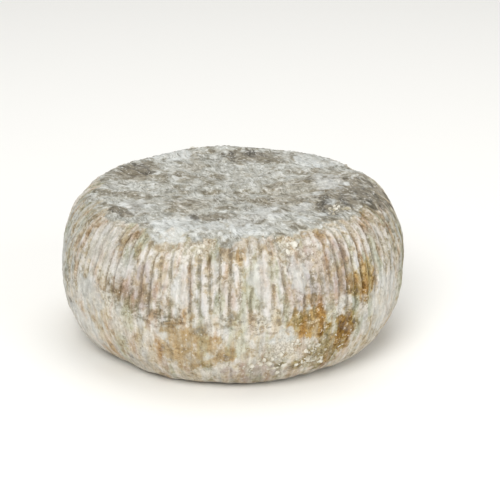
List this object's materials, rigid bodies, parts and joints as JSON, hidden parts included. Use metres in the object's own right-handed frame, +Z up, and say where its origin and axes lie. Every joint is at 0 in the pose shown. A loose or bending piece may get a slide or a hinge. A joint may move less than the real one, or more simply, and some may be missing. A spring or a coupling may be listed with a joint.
{
  "type": "cheese wheel",
  "caption": "Whole squat wheel of aged cheese with bulging ribbed sides, a flat base, a flat top and a dry mould-bloomed rind.",
  "frame": {"origin": "middle of the flat base that the wheel rests on", "axes": "+Z up along the wheel's axis, from the base to the upper face; -Y is the side with the orange stains"},
  "size_m": [0.21, 0.21, 0.092],
  "materials": {
    "rind": "matte"
  },
  "bodies": {
    "root": {"cheese_wheel": "rind"}
  },
  "joints": []
}
